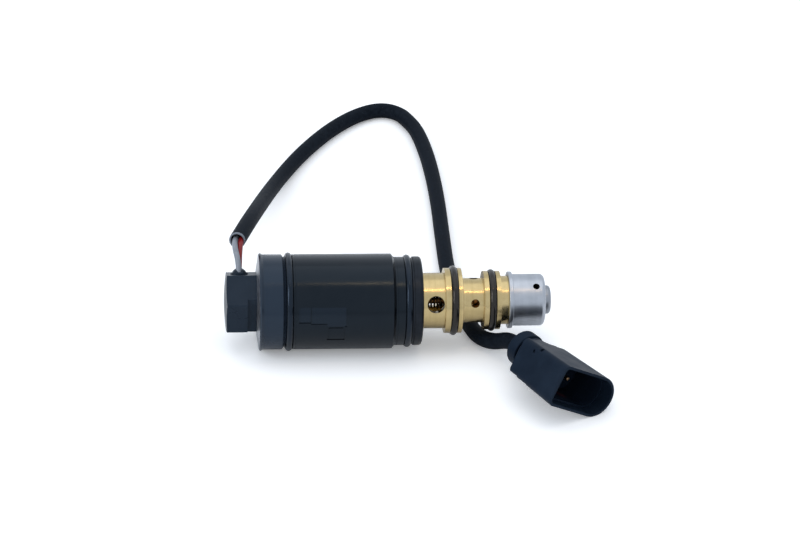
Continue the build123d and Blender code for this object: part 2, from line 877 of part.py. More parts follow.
def plug_wire_seal(side):
    """Rubber seal behind one pin, bored for its wire."""
    across = side * pin_spacing / 2
    body = plug_bore(across, wire_seal_r, seal_end, rear_spigot_end)
    return body - plug_bore(across, wire_r + grip_gap, seal_end, rear_spigot_end)


def corner_radii(route):
    """The largest tangent arc that each corner of a route has room for."""
    runs = [Vector(b) - Vector(a) for a, b in zip(route, route[1:])]
    radii = []
    for before, after in zip(runs, runs[1:]):
        half_turn = radians(before.get_angle(after)) / 2
        radii.append(0.45 * min(before.length, after.length) / tan(half_turn))
    return radii


def cord(route, r, bore=0):
    """Round cord or hollow sleeve along a route of straight runs and tangent arcs."""
    path = FilletPolyline(*route, radius=corner_radii(route))
    section = Circle(r) - Circle(bore) if bore else Circle(r)
    return sweep(Plane(path @ 0, z_dir=path % 0) * section, path)


# Routes of the wires, from their terminals into the sleeve
grey_route = [
    (-50.5, 0.96, 22.25),
    (-50.5, 4.05, 29.19),
    (-52.0, 10.4, 32.8),
    (-51.3, 18.0, 32.2),
    (-48.7, 28.0, 30.7),
]
red_route = [
    (-50.5, 3.47, 21.245),
    (-50.5, 6.52, 28.096),
    (-49.9, 12.8, 32.6),
    (-49.0, 18.5, 31.7),
    (-46.6, 27.0, 30.5),
    (-45.4, 34.2, 28.7),
]

# Route of the sleeve: down behind the head, a bend on the surface, back under the waist, to the plug
sleeve_route = [
    (-50.9, 14.9, 32.4),
    (-47.3, 28.9, 30.4),
    (-43.5, 49.3, 24.2),
    (-40.0, 72.7, 15.4),
    (-35.9, 95.8, 7.6),
    (-30.3, 115.7, 3.5),
    (-22.9, 132.3, 2.85),
    (-12.9, 149.0, 2.85),
    (-3.0, 161.2, 2.85),
    (5.0, 167.2, 2.85),
    (11.4, 168.6, 2.85),
    (16.8, 165.3, 2.85),
    (19.7, 159.3, 2.85),
    (22.8, 150.1, 2.85),
    (25.2, 127.2, 2.85),
    (25.9, 99.1, 2.85),
    (25.3, 69.9, 2.85),
    (24.8, 43.3, 2.85),
    (26.6, 22.0, 2.85),
    (29.2, 7.0, 2.85),
    (31.8, -1.4, 2.85),
    (36.2, -7.4, 4.4),
    (41.37, -13.24, 9.05),
    (45.27, -20.22, 9.28),
]

parts = {
    "terminal_head": terminal_head(),
    "wire_seal": wire_seal(),
    "terminal_front": terminal(-1),
    "terminal_rear": terminal(1),
    "end_plate": end_plate(),
    "coil_housing": coil_housing(),
    "flange_seal": flange_seal(),
    "front_seal": front_seal(),
    "front_yoke": front_yoke(),
    "coil_case": coil_case(),
    "rear_yoke": rear_yoke(),
    "bobbin": bobbin(),
    "winding": winding(),
    "lead_front": lead(-1),
    "lead_rear": lead(1),
    "guide_tube": guide_tube(),
    "plunger": plunger(),
    "return_spring": return_spring(),
    "fixed_core": fixed_core(),
    "valve_rod": valve_rod(),
    "valve_body": valve_body(),
    "port_spring": port_spring(),
    "body_seal_1": seal_ring(x_seal_1, body_groove, body_seal_1_r, body_seal_section_r),
    "body_seal_2": seal_ring(x_seal_2, body_groove, body_seal_2_r, body_seal_section_r),
    "bellows_tip": bellows_tip(),
    "bellows": bellows(),
    "adjusting_plug": adjusting_plug(),
    "cap": cap(),
    "wire_grey": cord(grey_route, wire_r),
    "wire_red": cord(red_route, wire_r),
    "sleeve": cord(sleeve_route, sleeve_r, sleeve_r - sleeve_wall),
    "plug_housing": plug_housing(),
    "plug_rear_cap": plug_rear_cap(),
    "plug_pin_1": plug_pin(-1),
    "plug_pin_2": plug_pin(1),
    "plug_wire_seal_1": plug_wire_seal(-1),
    "plug_wire_seal_2": plug_wire_seal(1),
}
os.makedirs("parts", exist_ok=True)
for name, solid in parts.items():
    export_step(solid, f"parts/{name}.step")
for name, route in (("grey", grey_route), ("red", red_route), ("sleeve", sleeve_route)):
    print(name, "corner radii", [round(r, 1) for r in corner_radii(route)])
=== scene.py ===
"""Visual model of the compressor control valve: surfaces, wires, lights and camera.

Laid out as an add-on and run as a script. Metres, in the same frame as the solids: +X along the valve's axis
towards the nose, +Y to the back and +Z up from the surface that the valve lies on.
"""

import json
import math

import bpy
from mathutils import Matrix, Vector

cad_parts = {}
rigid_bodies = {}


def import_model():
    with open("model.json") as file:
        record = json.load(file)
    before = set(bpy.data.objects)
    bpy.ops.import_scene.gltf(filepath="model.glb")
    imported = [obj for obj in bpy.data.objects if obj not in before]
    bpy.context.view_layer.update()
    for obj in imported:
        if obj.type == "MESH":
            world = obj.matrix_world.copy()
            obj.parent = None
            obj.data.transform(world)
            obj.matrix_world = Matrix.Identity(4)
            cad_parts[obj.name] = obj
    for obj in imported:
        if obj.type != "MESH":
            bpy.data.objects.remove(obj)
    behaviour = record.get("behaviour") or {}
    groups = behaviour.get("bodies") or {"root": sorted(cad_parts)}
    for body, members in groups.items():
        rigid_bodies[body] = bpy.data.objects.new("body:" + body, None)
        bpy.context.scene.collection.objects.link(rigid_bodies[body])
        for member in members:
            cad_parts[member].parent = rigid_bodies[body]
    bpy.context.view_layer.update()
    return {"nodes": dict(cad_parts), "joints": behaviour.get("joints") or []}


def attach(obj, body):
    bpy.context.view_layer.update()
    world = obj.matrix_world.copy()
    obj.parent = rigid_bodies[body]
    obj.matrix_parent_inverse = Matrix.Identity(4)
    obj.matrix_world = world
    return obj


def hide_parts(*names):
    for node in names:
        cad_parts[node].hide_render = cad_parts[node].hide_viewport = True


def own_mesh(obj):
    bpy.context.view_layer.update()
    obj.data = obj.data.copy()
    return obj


bl_info = {
    "name": "Compressor control valve",
    "version": (1, 0, 0),
    "blender": (4, 5, 0),
    "location": "3D View > Sidebar > Valve",
    "description": "Surfaces, wires, lights and camera for the control valve",
    "category": "Object",
}

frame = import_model()

MM = 0.001
# Height of the valve's axis over the surface
AXIS_HEIGHT = 16.77 * MM

# Front end of the flange, the width over which its paler skin ends, and its colour
FLANGE_END = -35.0 * MM
FLANGE_FADE = 0.2 * MM
FLANGE_COLOUR = "#202833"

# Blank fields on the housing's front, and dark lines painted at their edges: painted shade where the fields'
# shallow steps would cast it.
# Each row has a start and an end along the axis, and two angles in degrees up from the front
FIELDS = (
    (-30.9 * MM, -26.9 * MM, 3.9, 23.5),
    (-26.8 * MM, -21.5 * MM, 2.2, 23.5),
    (-21.5 * MM, -14.8 * MM, -1.5, 23.5),
)
# Painted shade: the dark lines along the fields' edges, drawn where the steps would cast shade
FIELD_EDGE_SHADE = (
    (-27.0 * MM, -26.6 * MM, 1.6, 23.5),
    (-26.8 * MM, -21.4 * MM, 1.2, 2.4),
    (-30.9 * MM, -27.0 * MM, 3.1, 4.0),
    (-15.0 * MM, -14.6 * MM, -1.7, 23.5),
    (-30.9 * MM, -14.8 * MM, 23.3, 24.0),
    (-21.6 * MM, -21.1 * MM, -22.8, -1.7),
    (-15.7 * MM, -15.2 * MM, -22.8, -1.7),
    (-21.3 * MM, -15.4 * MM, -3.0, -1.6),
    (-21.3 * MM, -15.4 * MM, -23.2, -21.8),
)
# For each of the two: colour, how much of it covers, and the angle in radians over which it fades
FIELD_LAYERS = (
    (FIELDS, "#0e141c", 1.0, 0.01),
    # The near-black of the edge lines is painted shade
    (FIELD_EDGE_SHADE, "#05070a", 0.8, 0.008),
)
# Width along the axis over which a field or a line fades
FIELD_FADE = 0.15 * MM

# Where the plug's pin that shows comes out of its seat, and a red-brown glow painted on the nylon round it:
# painted light that lifts the dark cavity in the warm colour of the copper pin
PIN_SEAT = (0.0576, -0.0380, 0.0078)
PIN_GLOW = "#a83a26"
PIN_GLOW_REACH = 6 * MM
PIN_GLOW_FADE = 5 * MM

# Routes of the wires and the sleeve, in metres
GREY_ROUTE = [
    (-0.0505, 0.00096, 0.02225),
    (-0.0505, 0.00405, 0.02919),
    (-0.052, 0.0104, 0.0328),
    (-0.0513, 0.018, 0.0322),
    (-0.0487, 0.028, 0.0307),
]
RED_ROUTE = [
    (-0.0505, 0.00347, 0.021245),
    (-0.0505, 0.00652, 0.028096),
    (-0.0499, 0.0128, 0.0326),
    (-0.049, 0.0185, 0.0317),
    (-0.0466, 0.027, 0.0305),
    (-0.0454, 0.0342, 0.0287),
]
SLEEVE_ROUTE = [
    (-0.0509, 0.0149, 0.0324),
    (-0.0473, 0.0289, 0.0304),
    (-0.0435, 0.0493, 0.0242),
    (-0.04, 0.0727, 0.0154),
    (-0.0359, 0.0958, 0.0076),
    (-0.0303, 0.1157, 0.0035),
    (-0.0229, 0.1323, 0.00285),
    (-0.0129, 0.149, 0.00285),
    (-0.003, 0.1612, 0.00285),
    (0.005, 0.1672, 0.00285),
    (0.0114, 0.1686, 0.00285),
    (0.0168, 0.1653, 0.00285),
    (0.0197, 0.1593, 0.00285),
    (0.0228, 0.1501, 0.00285),
    (0.0252, 0.1272, 0.00285),
    (0.0259, 0.0991, 0.00285),
    (0.0253, 0.0699, 0.00285),
    (0.0248, 0.0433, 0.00285),
    (0.0266, 0.022, 0.00285),
    (0.0292, 0.007, 0.00285),
    (0.0318, -0.0014, 0.00285),
    (0.0362, -0.0074, 0.0044),
    (0.04137, -0.01324, 0.00905),
    (0.04527, -0.02022, 0.00928),
]

# The dust on the sleeve, and the pale rim at its cut end, a painted highlight, which reaches this far from
# the route's first point
DUST_COLOUR = "#3a4048"
RIM_HIGHLIGHT_COLOUR = "#7c828b"
RIM_HIGHLIGHT_REACH = 2.9 * MM
RIM_HIGHLIGHT_FADE = 0.05 * MM

# The point that the camera aims at, its sensor's width in millimetres and the nearest that it sees
AIM = Vector((3.846, 0, 30.282)) * MM
SENSOR_WIDTH = 36
NEAREST = 0.01

# Half the floor's width
FLOOR_REACH = 4.0
# Lamps: place and size in metres, colour, and whether it is turned to the valve or faces straight down
LAMPS = {
    "key": ((0, 0.13, 0.6), (0.9, 0.56), "#ffffff", False),
    "strip": ((0.07, -0.172, 0.6), (0.1, 0.014), "#ffd199", False),
    "side": ((-0.55, -0.25, 0.3), (0.2, 0.4), "#f6faff", True),
}
# Upward part of the direction, from 0 to 1, above which the surroundings have their full brightness
HAZE_TOP = 0.12

# The middle span of a noise's values, where nearly all of them lie
NOISE_SPAN = {"From Min": 0.3, "From Max": 0.7}


class ValveSettings(bpy.types.PropertyGroup):
    """Sizes, light levels and colours that the operators read."""

    wire_diameter: bpy.props.FloatProperty(
        name="Wire diameter", description="Over the insulation", default=1.9 * MM, unit="LENGTH"
    )
    sleeve_diameter: bpy.props.FloatProperty(
        name="Sleeve diameter", description="Outside diameter of the sleeve", default=5.7 * MM, unit="LENGTH"
    )
    sleeve_wall: bpy.props.FloatProperty(
        name="Sleeve wall", description="Wall thickness of the sleeve", default=0.5 * MM, unit="LENGTH"
    )
    view_azimuth: bpy.props.FloatProperty(
        name="Camera azimuth",
        description="Turn of the camera round the valve",
        default=math.radians(-5.4),
        subtype="ANGLE",
    )
    view_elevation: bpy.props.FloatProperty(
        name="Camera elevation",
        description="Angle of the camera above the horizon",
        default=math.radians(30),
        subtype="ANGLE",
    )
    view_roll: bpy.props.FloatProperty(
        name="Camera roll", description="Turn of the picture", default=math.radians(2.244), subtype="ANGLE"
    )
    view_distance: bpy.props.FloatProperty(
        name="Camera distance", description="From the aim point", default=1.1, unit="LENGTH"
    )
    lens: bpy.props.FloatProperty(name="Lens", description="Focal length in millimetres", default=146.0)
    key_power: bpy.props.FloatProperty(
        name="Key power", description="Power of the overhead panel, in watts", default=0.75
    )
    strip_power: bpy.props.FloatProperty(
        name="Strip power", description="Power of the thin warm lamp, in watts", default=0.11
    )
    side_power: bpy.props.FloatProperty(
        name="Side power", description="Power of the upright panel at the left, in watts", default=1.3
    )
    surround: bpy.props.FloatProperty(
        name="Surround", description="Brightness of the surroundings", default=0.98
    )
    horizon: bpy.props.FloatProperty(
        name="Horizon", description="Brightness of the surroundings at the floor's far edge", default=0.69
    )
    lift: bpy.props.FloatProperty(
        name="Floor lift", description="Extra white of the floor that the camera sees", default=0.2
    )
    head_colour: bpy.props.StringProperty(
        name="Head colour", description="Hex code of the terminal head's plastic", default="#1a222c"
    )
    housing_colour: bpy.props.StringProperty(
        name="Housing colour", description="Hex code of the coil housing's black plastic", default="#040609"
    )
    brass_colour: bpy.props.StringProperty(
        name="Brass colour", description="Hex code of the turned brass body", default="#bfa978"
    )
    cap_colour: bpy.props.StringProperty(
        name="Cap colour", description="Hex code of the drawn cap's metal", default="#acb0b7"
    )
    sleeve_colour: bpy.props.StringProperty(
        name="Sleeve colour", description="Hex code of the black sleeve", default="#0c121a"
    )
    grey_colour: bpy.props.StringProperty(
        name="Grey wire colour", description="Hex code of the grey insulation", default="#757a82"
    )
    red_colour: bpy.props.StringProperty(
        name="Red wire colour", description="Hex code of the red insulation", default="#74090c"
    )


# Colours and shader nodes


def linear(code):
    """An sRGB hex colour as linear RGBA, by the sRGB curve."""
    channels = [int(code[i : i + 2], 16) / 255 for i in (1, 3, 5)]
    return tuple(c / 12.92 if c <= 0.04045 else ((c + 0.055) / 1.055) ** 2.4 for c in channels) + (1.0,)


def shades(code, step):
    """A hex colour, and the same colour with each channel raised by step."""
    channels = [min(int(code[i : i + 2], 16) + step, 255) for i in (1, 3, 5)]
    return code, "#%02x%02x%02x" % tuple(channels)


def add_node(tree, kind, inputs=(), **settings):
    """Adds a shader node with its settings, and with its inputs as links, hex colours or values.

    A colour mix has its factor at input 0, its colours at 6 and 7, and its result at output 2.
    """
    made = tree.nodes.new(kind)
    for key, value in settings.items():
        setattr(made, key, value)
    for key, value in dict(inputs).items():
        if isinstance(value, bpy.types.NodeSocket):
            tree.links.new(value, made.inputs[key])
        else:
            made.inputs[key].default_value = linear(value) if isinstance(value, str) else value
    return made


def new_material(name):
    """A material and its node tree, still empty."""
    material = bpy.data.materials.new(name)
    material.use_nodes = True
    material.node_tree.nodes.clear()
    return material, material.node_tree


def end_material(tree, surface):
    """Gives a material its one shader, with this surface's inputs, and its output."""
    shader = add_node(tree, "ShaderNodeBsdfPrincipled", surface)
    add_node(tree, "ShaderNodeOutputMaterial", {"Surface": shader.outputs["BSDF"]})


def from_axis(tree):
    """A point's station along the valve's axis, and how far it lies behind and above the axis."""
    at = add_node(tree, "ShaderNodeTexCoord").outputs["Object"]
    moved = add_node(tree, "ShaderNodeVectorMath", {0: at, 1: (0, 0, AXIS_HEIGHT)}, operation="SUBTRACT")
    return add_node(tree, "ShaderNodeSeparateXYZ", {0: moved.outputs[0]}).outputs


def inside(tree, value, low, high, fade):
    """1 where a value lies between two others and 0 outside, with an edge of width fade."""
    rise = add_node(tree, "ShaderNodeMapRange", {"Value": value, "From Min": low - fade, "From Max": low})
    drop = {"Value": value, "From Min": high, "From Max": high + fade, "To Min": 1, "To Max": 0}
    fall = add_node(tree, "ShaderNodeMapRange", drop)
    both = {0: rise.outputs["Result"], 1: fall.outputs["Result"]}
    return add_node(tree, "ShaderNodeMath", both, operation="MULTIPLY").outputs[0]


def near(tree, centre, reach, fade):
    """1 around a point and 0 beyond its reach, with an edge of width fade."""
    at = add_node(tree, "ShaderNodeTexCoord").outputs["Object"]
    gap = add_node(tree, "ShaderNodeVectorMath", {0: at, 1: centre}, operation="DISTANCE").outputs["Value"]
    drop = {"Value": gap, "From Min": reach - fade, "From Max": reach, "To Min": 1, "To Max": 0}
    return add_node(tree, "ShaderNodeMapRange", drop).outputs["Result"]


def uneven(tree, colours, patch, grain, detail, rough, swing, depth):
    """A surface whose tone and roughness drift over patches, with a fine grain on it.

    patch, grain and depth are in metres. detail is for the patches and for the grain. swing is how far the
    roughness falls and rises.
    """
    at = add_node(tree, "ShaderNodeTexCoord").outputs["Object"]
    patch_detail, grain_detail = detail
    patches = {"Vector": at, "Scale": 1 / patch, "Detail": patch_detail}
    drift = add_node(tree, "ShaderNodeTexNoise", patches).outputs["Fac"]
    grains = {"Vector": at, "Scale": 1 / grain, "Detail": grain_detail}
    height = add_node(tree, "ShaderNodeTexNoise", grains).outputs["Fac"]
    share = add_node(tree, "ShaderNodeMapRange", {"Value": drift, **NOISE_SPAN}).outputs["Result"]
    tone = add_node(tree, "ShaderNodeMix", {0: share, 6: colours[0], 7: colours[1]}, data_type="RGBA")
    fall, rise = swing
    span = {"Value": drift, **NOISE_SPAN, "To Min": rough - fall, "To Max": rough + rise}
    return {
        "Base Color": tone.outputs[2],
        "Roughness": add_node(tree, "ShaderNodeMapRange", span).outputs["Result"],
        "Normal": add_node(tree, "ShaderNodeBump", {"Height": height, "Distance": depth}).outputs["Normal"],
    }


# Materials


def moulded_nylon(name, colours, rough, gloss=0.2, paint=None):
    """Nylon as it leaves the mould: faint spark-eroded grain, slightly uneven gloss and a cool sheen."""
    material, tree = new_material(name)
    surface = uneven(
        tree,
        colours,
        patch=6 * MM,
        grain=0.25 * MM,
        detail=(3, 2),
        rough=rough,
        swing=(0.04, 0.06),
        depth=0.002 * MM,
    )
    if paint:
        surface["Base Color"] = paint(tree, surface["Base Color"])
    surface.update({"IOR": 1.5, "Specular IOR Level": gloss, "Specular Tint": "#c4dcf4"})
    end_material(tree, surface)
    return material


def housing_tone_and_shade(tree, colour):
    """The flange's paler skin, the blank fields, and painted shade: dark lines at the fields' edges, where
    their steps cast shade.
    """
    x, y, z = from_axis(tree)
    front = add_node(tree, "ShaderNodeMath", {0: y, 1: -1.0}, operation="MULTIPLY").outputs[0]
    angle = add_node(tree, "ShaderNodeMath", {0: z, 1: front}, operation="ARCTAN2").outputs[0]
    fade_start = FLANGE_END - FLANGE_FADE
    step = {"Value": x, "From Min": fade_start, "From Max": FLANGE_END, "To Min": 1, "To Max": 0}
    flange = add_node(tree, "ShaderNodeMapRange", step).outputs["Result"]
    layer = {0: flange, 6: colour, 7: FLANGE_COLOUR}
    colour = add_node(tree, "ShaderNodeMix", layer, data_type="RGBA").outputs[2]
    # The fields first, then the painted shade lines at their edges
    for fields, paint, cover, fade in FIELD_LAYERS:
        for start, end, low, high in fields:
            along = inside(tree, x, start, end, FIELD_FADE)
            across = inside(tree, angle, math.radians(low), math.radians(high), fade)
            field = add_node(tree, "ShaderNodeMath", {0: along, 1: across}, operation="MULTIPLY").outputs[0]
            share = add_node(tree, "ShaderNodeMath", {0: field, 1: cover}, operation="MULTIPLY").outputs[0]
            layer = {0: share, 6: colour, 7: paint}
            colour = add_node(tree, "ShaderNodeMix", layer, data_type="RGBA").outputs[2]
    return colour


def plug_pin_glow(tree, colour):
    """A red-brown glow painted round the pin that shows: painted light in the dark cavity."""
    # Painted light: a red-brown glow on the nylon round the pin
    layer = {0: near(tree, PIN_SEAT, PIN_GLOW_REACH, PIN_GLOW_FADE), 6: colour, 7: PIN_GLOW}
    return add_node(tree, "ShaderNodeMix", layer, data_type="RGBA").outputs[2]


def moulded_rubber(name, colours, rough, tint="#ffffff"):
    """Rubber, moulded and lightly oiled: a deep colour with soft glossy lights."""
    material, tree = new_material(name)
    surface = uneven(
        tree,
        colours,
        patch=2.5 * MM,
        grain=0.12 * MM,
        detail=(3, 2),
        rough=rough,
        swing=(0.05, 0.08),
        depth=0.001 * MM,
    )
    surface.update({"IOR": 1.52, "Specular IOR Level": 0.4, "Specular Tint": tint})
    end_material(tree, surface)
    return material


def extruded_vinyl(name, colours, rough, gloss=0.4, paint=None):
    """Soft vinyl, extruded: an even colour with soft lights."""
    material, tree = new_material(name)
    surface = uneven(
        tree,
        colours,
        patch=1.5 * MM,
        grain=0.3 * MM,
        detail=(3, 2),
        rough=rough,
        swing=(0.05, 0.08),
        depth=0.002 * MM,
    )
    if paint:
        surface["Base Color"] = paint(tree, surface["Base Color"])
    surface.update({"IOR": 1.5, "Specular IOR Level": gloss})
    end_material(tree, surface)
    return material


def sleeve_dust_and_highlight(tree, colour):
    """Pale dust specks all over the sleeve, and a painted highlight: a pale rim at its cut end."""
    at = add_node(tree, "ShaderNodeTexCoord").outputs["Object"]
    # Dust is finer than this, and is drawn at 0.45 mm so that it shows
    dust = add_node(tree, "ShaderNodeTexNoise", {"Vector": at, "Scale": 1 / (0.45 * MM), "Detail": 1})
    # Only the noise's highest values are specks
    peaks = {"Value": dust.outputs["Fac"], "From Min": 0.74, "From Max": 0.78}
    specks = add_node(tree, "ShaderNodeMapRange", peaks).outputs["Result"]
    layer = {0: specks, 6: colour, 7: DUST_COLOUR}
    colour = add_node(tree, "ShaderNodeMix", layer, data_type="RGBA").outputs[2]
    # Painted highlight: a pale rim round the open end
    layer = {0: near(tree, SLEEVE_ROUTE[0], RIM_HIGHLIGHT_REACH, RIM_HIGHLIGHT_FADE), 6: colour, 7: RIM_HIGHLIGHT_COLOUR}
    return add_node(tree, "ShaderNodeMix", layer, data_type="RGBA").outputs[2]


def drawn_metal(name, colours, rough):
    """Drawn, formed or plated metal: smooth, with a cloudy sheen and fine handling marks."""
    material, tree = new_material(name)
    surface = uneven(
        tree,
        colours,
        patch=2 * MM,
        grain=0.15 * MM,
        detail=(4, 3),
        rough=rough,
        swing=(0.05, 0.07),
        depth=0.0008 * MM,
    )
    surface["Metallic"] = 1.0
    end_material(tree, surface)
    return material


def ringed_metal(name, colours, rough, ring=0.12 * MM, depth=0.0003 * MM):
    """Metal off the lathe, or with rings like it: fine rings round the axis, in bands, and a stained tone.

    A finishing cut leaves rings about 0.05 mm apart, and they are drawn at 0.12 mm so that they show.
    """
    material, tree = new_material(name)
    x, y, z = from_axis(tree)
    spoke = add_node(tree, "ShaderNodeCombineXYZ", {1: y, 2: z}).outputs[0]
    radius = add_node(tree, "ShaderNodeVectorMath", {0: spoke}, operation="LENGTH").outputs["Value"]
    angle = add_node(tree, "ShaderNodeMath", {0: z, 1: y}, operation="ARCTAN2").outputs[0]
    # A little of the angle keeps a ring from being quite even all round
    waver = add_node(tree, "ShaderNodeMath", {0: angle, 1: 0.02 * MM}, operation="MULTIPLY").outputs[0]
    around = add_node(tree, "ShaderNodeCombineXYZ", {0: x, 1: radius, 2: waver}).outputs[0]
    fine = {"Vector": around, "Scale": 1 / ring, "Detail": 2, "Roughness": 0.6}
    rings = add_node(tree, "ShaderNodeTexNoise", fine).outputs["Fac"]
    # A band is as wide as 8 rings
    bands = add_node(tree, "ShaderNodeTexNoise", {"Vector": around, "Scale": 1 / (8 * ring), "Detail": 2})
    at = add_node(tree, "ShaderNodeTexCoord").outputs["Object"]
    # A stain is about 3 mm across
    stain = add_node(tree, "ShaderNodeTexNoise", {"Vector": at, "Scale": 1 / (3 * MM), "Detail": 4})
    halves = {0: 0.5, 2: bands.outputs["Fac"], 3: stain.outputs["Fac"]}
    mean = add_node(tree, "ShaderNodeMix", halves, data_type="FLOAT").outputs[0]
    share = add_node(tree, "ShaderNodeMapRange", {"Value": mean, "From Min": 0.35, "From Max": 0.65})
    layer = {0: share.outputs["Result"], 6: colours[0], 7: colours[1]}
    span = {"Value": rings, **NOISE_SPAN, "To Min": rough - 0.03, "To Max": rough + 0.05}
    surface = {
        "Base Color": add_node(tree, "ShaderNodeMix", layer, data_type="RGBA").outputs[2],
        "Roughness": add_node(tree, "ShaderNodeMapRange", span).outputs["Result"],
        "Normal": add_node(tree, "ShaderNodeBump", {"Height": rings, "Distance": depth}).outputs["Normal"],
        "Metallic": 1.0,
    }
    end_material(tree, surface)
    return material


# Pieces


def dress(material, *nodes):
    """Gives CAD nodes a material."""
    for name in nodes:
        piece = frame["nodes"][name]
        piece.data.materials.clear()
        piece.data.materials.append(material)


def flexing(node, joint):
    """A copy of a spring or the bellows, put on the joint's parent body in place of the CAD node, which is
    hidden.
    """
    piece = bpy.data.objects.new(node + "_flexing", frame["nodes"][node].data.copy())
    bpy.context.scene.collection.objects.link(piece)
    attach(piece, joint["parent"])
    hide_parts(node)
    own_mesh(piece)


def tube(name, route, diameter, material):
    """A round cord whose line is a smooth spline on the route's points."""
    curve = bpy.data.curves.new(name, "CURVE")
    curve.dimensions = "3D"
    spline = curve.splines.new("NURBS")
    spline.points.add(len(route) - 1)
    for point, place in zip(spline.points, route):
        point.co = (*place, 1.0)
        point.radius = diameter / 2
    spline.order_u = 3
    spline.use_endpoint_u = True
    spline.resolution_u = 24
    # The size stands on the points, because the object's box takes in their radius
    curve.bevel_depth = 1.0
    curve.bevel_resolution = 6
    curve.use_fill_caps = True
    curve.materials.append(material)
    piece = bpy.data.objects.new(name, curve)
    bpy.context.scene.collection.objects.link(piece)
    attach(piece, "valve")
    return piece


# Stage


def lay_floor(context, lift):
    """Lays a pale floor, which looks white to the camera apart from the valve's shadow."""
    mesh = bpy.data.meshes.new("floor")
    signs = ((-1, -1), (1, -1), (1, 1), (-1, 1))
    mesh.from_pydata([(x * FLOOR_REACH, y * FLOOR_REACH, 0) for x, y in signs], [], [(0, 1, 2, 3)])
    floor = bpy.data.objects.new("floor", mesh)
    context.scene.collection.objects.link(floor)
    material, tree = new_material("floor_paper")
    seen = add_node(tree, "ShaderNodeLightPath").outputs["Is Camera Ray"]
    white = add_node(tree, "ShaderNodeMix", {0: seen, 6: "#f0f0f0", 7: "#ffffff"}, data_type="RGBA")
    glow = add_node(tree, "ShaderNodeMath", {0: seen, 1: lift}, operation="MULTIPLY")
    surface = {
        "Base Color": white.outputs[2],
        "Roughness": 1.0,
        "Specular IOR Level": 0.0,
        "Emission Color": "#ffffff",
        "Emission Strength": glow.outputs[0],
    }
    end_material(tree, surface)
    mesh.materials.append(material)


def hang_lamps(context, settings):
    """Hangs the overhead panel, the thin warm lamp and the panel at the left."""
    for name, (place, size, colour, turned) in LAMPS.items():
        data = bpy.data.lights.new(name, "AREA")
        data.shape = "RECTANGLE"
        data.size, data.size_y = size
        data.energy = getattr(settings, name + "_power")
        data.color = linear(colour)[:3]
        lamp = bpy.data.objects.new(name, data)
        lamp.location = place
        if turned:
            lamp.rotation_euler = (-Vector(place)).to_track_quat("-Z", "Y").to_euler()
        context.scene.collection.objects.link(lamp)


def set_surroundings(context, settings):
    """Sets a soft, slightly cool light from all round, dimmer near the floor, and white to the camera."""
    world = bpy.data.worlds.new("surroundings")
    context.scene.world = world
    world.use_nodes = True
    tree = world.node_tree
    tree.nodes.clear()
    seen = add_node(tree, "ShaderNodeLightPath").outputs["Is Camera Ray"]
    direction = add_node(tree, "ShaderNodeTexCoord").outputs["Generated"]
    upward = add_node(tree, "ShaderNodeSeparateXYZ", {0: direction}).outputs[2]
    climb = {"Value": upward, "From Max": HAZE_TOP, "To Min": settings.horizon, "To Max": settings.surround}
    light = add_node(tree, "ShaderNodeMapRange", climb).outputs["Result"]
    strength = add_node(tree, "ShaderNodeMapRange", {"Value": seen, "To Min": light, "To Max": 1.0})
    sky = add_node(tree, "ShaderNodeMix", {0: seen, 6: "#e8f0fa", 7: "#ffffff"}, data_type="RGBA")
    look = {"Color": sky.outputs[2], "Strength": strength.outputs["Result"]}
    background = add_node(tree, "ShaderNodeBackground", look)
    add_node(tree, "ShaderNodeOutputWorld", {"Surface": background.outputs[0]})


# Operators


class ValveOperator:
    """What the operators share."""

    bl_options = {"REGISTER", "UNDO"}


class VALVE_OT_camera(ValveOperator, bpy.types.Operator):
    """Place the camera at the photograph's viewing angle"""

    bl_idname = "valve.camera"
    bl_label = "Camera"

    def execute(self, context):
        settings = context.scene.valve_settings
        azimuth, elevation, roll = settings.view_azimuth, settings.view_elevation, settings.view_roll
        level = math.cos(elevation)
        back = Vector((math.sin(azimuth) * level, -math.cos(azimuth) * level, math.sin(elevation)))
        right = Vector((math.cos(azimuth), math.sin(azimuth), 0))
        up = back.cross(right)
        turned_right = right * math.cos(roll) + up * math.sin(roll)
        turned_up = up * math.cos(roll) - right * math.sin(roll)
        data = bpy.data.cameras.new("camera")
        data.lens = settings.lens
        data.sensor_width = SENSOR_WIDTH
        data.clip_start = NEAREST
        camera = bpy.data.objects.new("camera", data)
        context.scene.collection.objects.link(camera)
        turn = Matrix((turned_right, turned_up, back)).transposed().to_4x4()
        camera.matrix_world = Matrix.Translation(AIM + back * settings.view_distance) @ turn
        context.scene.camera = camera
        return {"FINISHED"}


class VALVE_OT_cords(ValveOperator, bpy.types.Operator):
    """Lay the two wires and the sleeve along their routes"""

    bl_idname = "valve.cords"
    bl_label = "Wires and sleeve"

    def execute(self, context):
        settings = context.scene.valve_settings
        # Even mid grey and deep red, each with a soft light along it
        grey_vinyl = extruded_vinyl("extruded_grey_vinyl", shades(settings.grey_colour, 20), rough=0.34)
        red_vinyl = extruded_vinyl("extruded_red_vinyl", shades(settings.red_colour, 12), rough=0.32)
        grey = tube("grey_wire", GREY_ROUTE, settings.wire_diameter, grey_vinyl)
        red = tube("red_wire", RED_ROUTE, settings.wire_diameter, red_vinyl)
        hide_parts("wire_grey")
        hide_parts("wire_red")

        # Dull near-black with a few pale dust specks, and a painted highlight: a pale rim at its open end
        sleeve_vinyl = extruded_vinyl(
            "extruded_sleeve_vinyl",
            shades(settings.sleeve_colour, 12),
            rough=0.55,
            gloss=0.04,
            paint=sleeve_dust_and_highlight,
        )
        sleeve = tube("sleeve_tube", SLEEVE_ROUTE, settings.sleeve_diameter, sleeve_vinyl)
        sleeve.data.use_fill_caps = False
        wall = sleeve.modifiers.new("wall", "SOLIDIFY")
        wall.thickness = settings.sleeve_wall
        wall.offset = -1
        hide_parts("sleeve")

        return {"FINISHED"}


